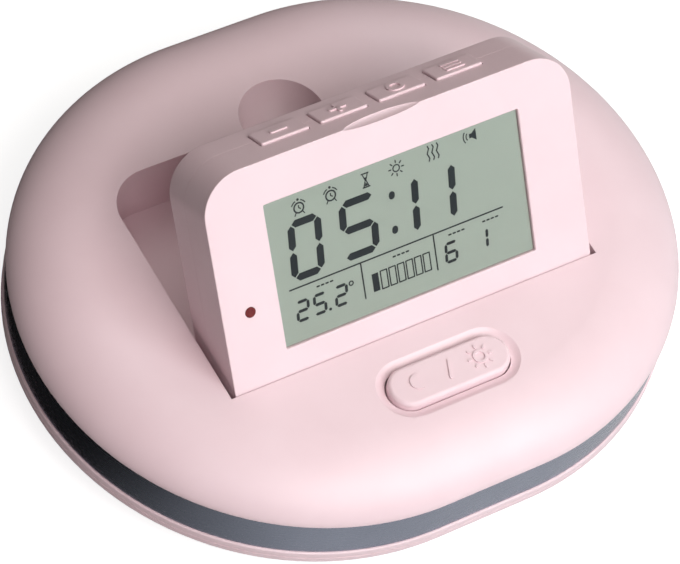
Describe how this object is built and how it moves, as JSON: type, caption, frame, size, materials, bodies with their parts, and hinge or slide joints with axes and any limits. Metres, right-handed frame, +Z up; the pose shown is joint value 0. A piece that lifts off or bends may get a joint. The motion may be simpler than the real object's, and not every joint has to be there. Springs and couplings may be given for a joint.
{
  "type": "runaway alarm clock",
  "caption": "Alarm clock on hidden drive wheels, with a round-cornered base, a digital display panel that folds down into a pocket, and a snooze button.",
  "frame": {"origin": "middle of the base on the surface that the wheels stand on", "axes": "+X along the display hinge, toward the plus side of the keys; +Y to the back; +Z up"},
  "size_m": [0.14, 0.119, 0.068],
  "materials": {
    "shell_pink": "smooth satin moulding",
    "band_gunmetal": "satin dark metallic",
    "steel": "plain",
    "motor_can": "plated can",
    "board_green": "solder mask",
    "black_plastic": "fine texture",
    "cone_paper": "matte film",
    "magnet_metal": "plated",
    "battery_wrap": "plain sleeve",
    "brass": "turned",
    "gear_white": "natural nylon",
    "tyre_rubber": "soft grip",
    "clear_window": "clear sheet",
    "lcd_grey": "grey-green display",
    "light_guide": "white diffuser",
    "indicator_amber": "dark red tinted",
    "led_white": "plain"
  },
  "bodies": {
    "base": {"top_shell": "shell_pink", "bottom_shell": "shell_pink", "rim_band": "band_gunmetal", "case_screws": "steel", "rear_glides": "black_plastic", "main_board": "board_green", "controller_chip": "black_plastic", "capacitors": "black_plastic", "crystal": "steel", "speaker_basket": "black_plastic", "speaker_cone": "cone_paper", "speaker_magnet": "magnet_metal", "battery_cells": "battery_wrap", "battery_springs": "steel", "battery_plates": "steel", "snooze_board": "board_green", "snooze_switch": "black_plastic", "power_switch": "black_plastic", "hinge_bushings": "brass", "left_motor": "motor_can", "right_motor": "motor_can", "left_idler_pin": "steel", "right_idler_pin": "steel"},
    "panel": {"display_front_shell": "shell_pink", "display_back_shell": "shell_pink", "display_window": "clear_window", "lcd_cell": "lcd_grey", "backlight": "light_guide", "display_board": "board_green", "indicator_lens": "indicator_amber", "indicator_led": "led_white", "key_switches": "black_plastic", "display_screws": "steel", "hinge_pins": "steel"},
    "snooze": {"snooze_button": "shell_pink"},
    "power_knob": {"power_knob": "black_plastic"},
    "battery_door": {"battery_door": "shell_pink"},
    "caster_swivel": {"caster_fork": "gear_white", "caster_pin": "steel"},
    "caster_roller": {"caster_wheel": "tyre_rubber"},
    "key_minus": {"key_minus": "shell_pink"},
    "key_plus": {"key_plus": "shell_pink"},
    "key_ring": {"key_ring": "shell_pink"},
    "key_menu": {"key_menu": "shell_pink"},
    "left_drive_wheel": {"left_wheel": "gear_white", "left_tyre": "tyre_rubber", "left_axle": "steel"},
    "left_idler": {"left_idler": "gear_white"},
    "left_pinion": {"left_pinion": "brass", "left_motor_shaft": "steel"},
    "right_drive_wheel": {"right_wheel": "gear_white", "right_tyre": "tyre_rubber", "right_axle": "steel"},
    "right_idler": {"right_idler": "gear_white"},
    "right_pinion": {"right_pinion": "brass", "right_motor_shaft": "steel"}
  },
  "joints": [
    {"name": "panel_fold", "type": "hinge", "parent": "base", "child": "panel", "pos_m": [0, -0.02196, 0.0235], "axis": [1, 0, 0], "range_deg": [-57.4, 0]},
    {"name": "snooze_press", "type": "slide", "parent": "base", "child": "snooze", "axis": [0, 0, -1], "range_m": [0, 0.0008], "stiffness_N_per_m": 900, "springref_m": -0.0003},
    {"name": "power_slide", "type": "slide", "parent": "base", "child": "power_knob", "axis": [1, 0, 0], "range_m": [0, 0.003]},
    {"name": "battery_door_swing", "type": "hinge", "parent": "base", "child": "battery_door", "pos_m": [0, 0.03215, 0.0034], "axis": [1, 0, 0], "range_deg": [-95, 0]},
    {"name": "caster_turn", "type": "hinge", "parent": "base", "child": "caster_swivel", "pos_m": [0, -0.0415, 0.012], "axis": [0, 0, 1], "continuous": true},
    {"name": "caster_roll", "type": "hinge", "parent": "caster_swivel", "child": "caster_roller", "pos_m": [0, -0.0381, 0.0046], "axis": [1, 0, 0], "continuous": true},
    {"name": "key_minus_press", "type": "slide", "parent": "panel", "child": "key_minus", "axis": [0, -0.5388, -0.8425], "range_m": [0, 0.0006], "stiffness_N_per_m": 900, "springref_m": -0.0003},
    {"name": "key_plus_press", "type": "slide", "parent": "panel", "child": "key_plus", "axis": [0, -0.5388, -0.8425], "range_m": [0, 0.0006], "stiffness_N_per_m": 900, "springref_m": -0.0003},
    {"name": "key_ring_press", "type": "slide", "parent": "panel", "child": "key_ring", "axis": [0, -0.5388, -0.8425], "range_m": [0, 0.0006], "stiffness_N_per_m": 900, "springref_m": -0.0003},
    {"name": "key_menu_press", "type": "slide", "parent": "panel", "child": "key_menu", "axis": [0, -0.5388, -0.8425], "range_m": [0, 0.0006], "stiffness_N_per_m": 900, "springref_m": -0.0003},
    {"name": "left_wheel_spin", "type": "hinge", "parent": "base", "child": "left_drive_wheel", "pos_m": [0, 0.012, 0.011], "axis": [1, 0, 0], "continuous": true},
    {"name": "left_idler_spin", "type": "hinge", "parent": "base", "child": "left_idler", "pos_m": [0, 0.00356, 0.012], "axis": [1, 0, 0], "continuous": true},
    {"name": "left_pinion_spin", "type": "hinge", "parent": "base", "child": "left_pinion", "pos_m": [0, -0.00544, 0.012], "axis": [1, 0, 0], "continuous": true},
    {"name": "right_wheel_spin", "type": "hinge", "parent": "base", "child": "right_drive_wheel", "pos_m": [0, 0.012, 0.011], "axis": [1, 0, 0], "continuous": true},
    {"name": "right_idler_spin", "type": "hinge", "parent": "base", "child": "right_idler", "pos_m": [0, 0.00356, 0.012], "axis": [1, 0, 0], "continuous": true},
    {"name": "right_pinion_spin", "type": "hinge", "parent": "base", "child": "right_pinion", "pos_m": [0, -0.00544, 0.012], "axis": [1, 0, 0], "continuous": true}
  ],
  "couplings": [
    {"joint": "left_idler_spin", "follows": "left_wheel_spin", "ratio": -2.4},
    {"joint": "left_pinion_spin", "follows": "left_wheel_spin", "ratio": 6.24},
    {"joint": "right_idler_spin", "follows": "right_wheel_spin", "ratio": -2.4},
    {"joint": "right_pinion_spin", "follows": "right_wheel_spin", "ratio": 6.24}
  ]
}
